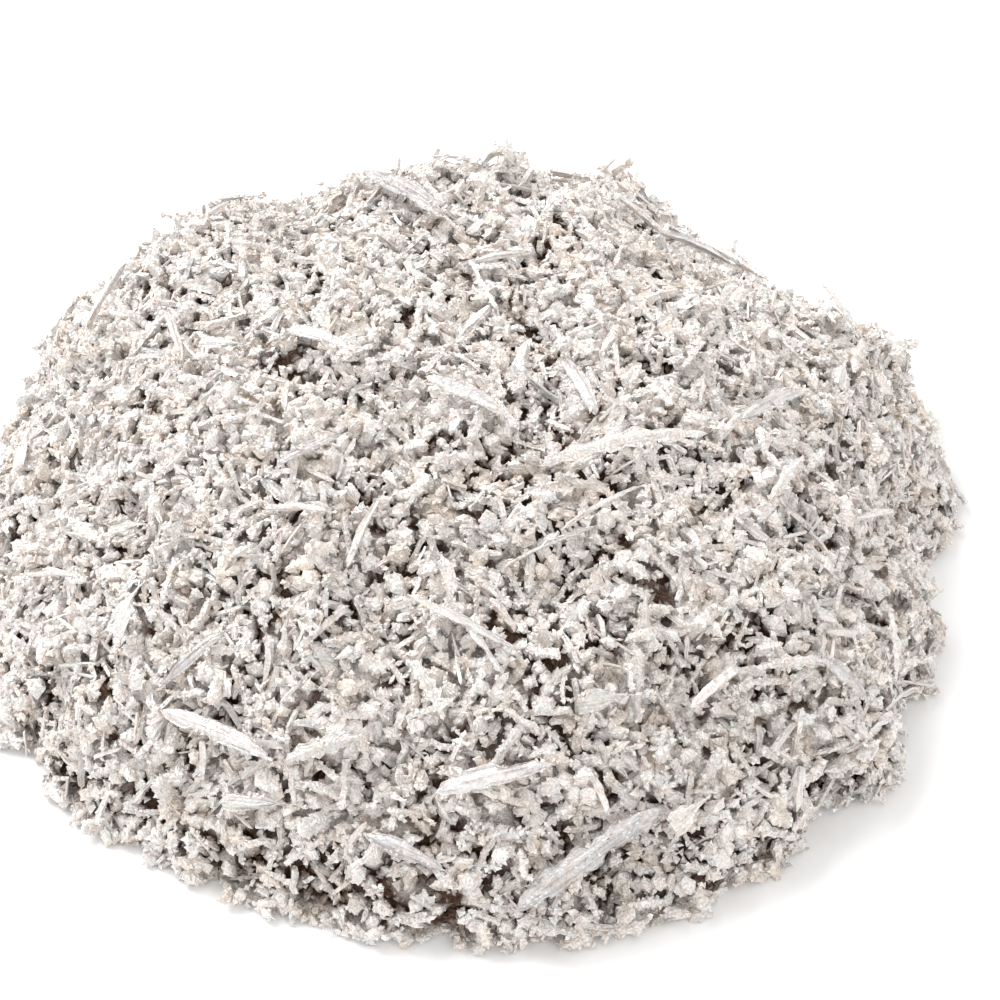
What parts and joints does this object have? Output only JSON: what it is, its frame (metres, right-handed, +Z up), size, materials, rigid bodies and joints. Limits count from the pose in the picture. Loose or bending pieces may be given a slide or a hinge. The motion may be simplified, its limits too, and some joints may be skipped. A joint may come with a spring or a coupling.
{
  "type": "electrolytic silver crystal heap",
  "caption": "Loose rounded heap of silver crystals: a matted, flat-bottomed bed of granules and small needles with larger needles, ribbed blades, flakes and feathers lying on it.",
  "frame": {"origin": "middle of the heap's bounding box, on the flat underside that the heap rests on", "axes": "+Z up, away from the resting surface; -Y is the front, towards the viewer; +X to the viewer's right"},
  "size_m": [0.1002, 0.1012, 0.0326],
  "materials": {
    "blade_silver": "bright satin silver with fine ribs along the blade",
    "bed_silver": "crumbly matte silver with brownish tarnish in the recesses",
    "feather_silver": "satin silver, slightly matte",
    "flake_silver": "bright satin silver",
    "forked_needle_silver": "satin silver",
    "needle_silver": "satin silver"
  },
  "bodies": {
    "root": {"blade_01": "blade_silver", "blade_02": "blade_silver", "blade_03": "blade_silver", "blade_04": "blade_silver", "blade_05": "blade_silver", "blade_06": "blade_silver", "blade_07": "blade_silver", "blade_08": "blade_silver", "blade_09": "blade_silver", "blade_10": "blade_silver", "blade_11": "blade_silver", "blade_12": "blade_silver", "blade_13": "blade_silver", "blade_14": "blade_silver", "blade_15": "blade_silver", "crystal_bed": "bed_silver", "feather_01": "feather_silver", "feather_02": "feather_silver", "feather_03": "feather_silver", "feather_04": "feather_silver", "feather_05": "feather_silver", "feather_06": "feather_silver", "feather_07": "feather_silver", "feather_08": "feather_silver", "flake_01": "flake_silver", "flake_02": "flake_silver", "flake_03": "flake_silver", "flake_04": "flake_silver", "flake_05": "flake_silver", "flake_06": "flake_silver", "flake_07": "flake_silver", "flake_08": "flake_silver", "flake_09": "flake_silver", "flake_10": "flake_silver", "forked_needle_01": "forked_needle_silver", "needle_01": "needle_silver", "needle_02": "needle_silver", "needle_03": "needle_silver", "needle_04": "needle_silver", "needle_05": "needle_silver", "needle_06": "needle_silver", "needle_07": "needle_silver", "needle_08": "needle_silver", "needle_09": "needle_silver", "needle_10": "needle_silver", "needle_11": "needle_silver", "needle_12": "needle_silver", "needle_13": "needle_silver", "needle_14": "needle_silver", "needle_15": "needle_silver"}
  },
  "joints": []
}
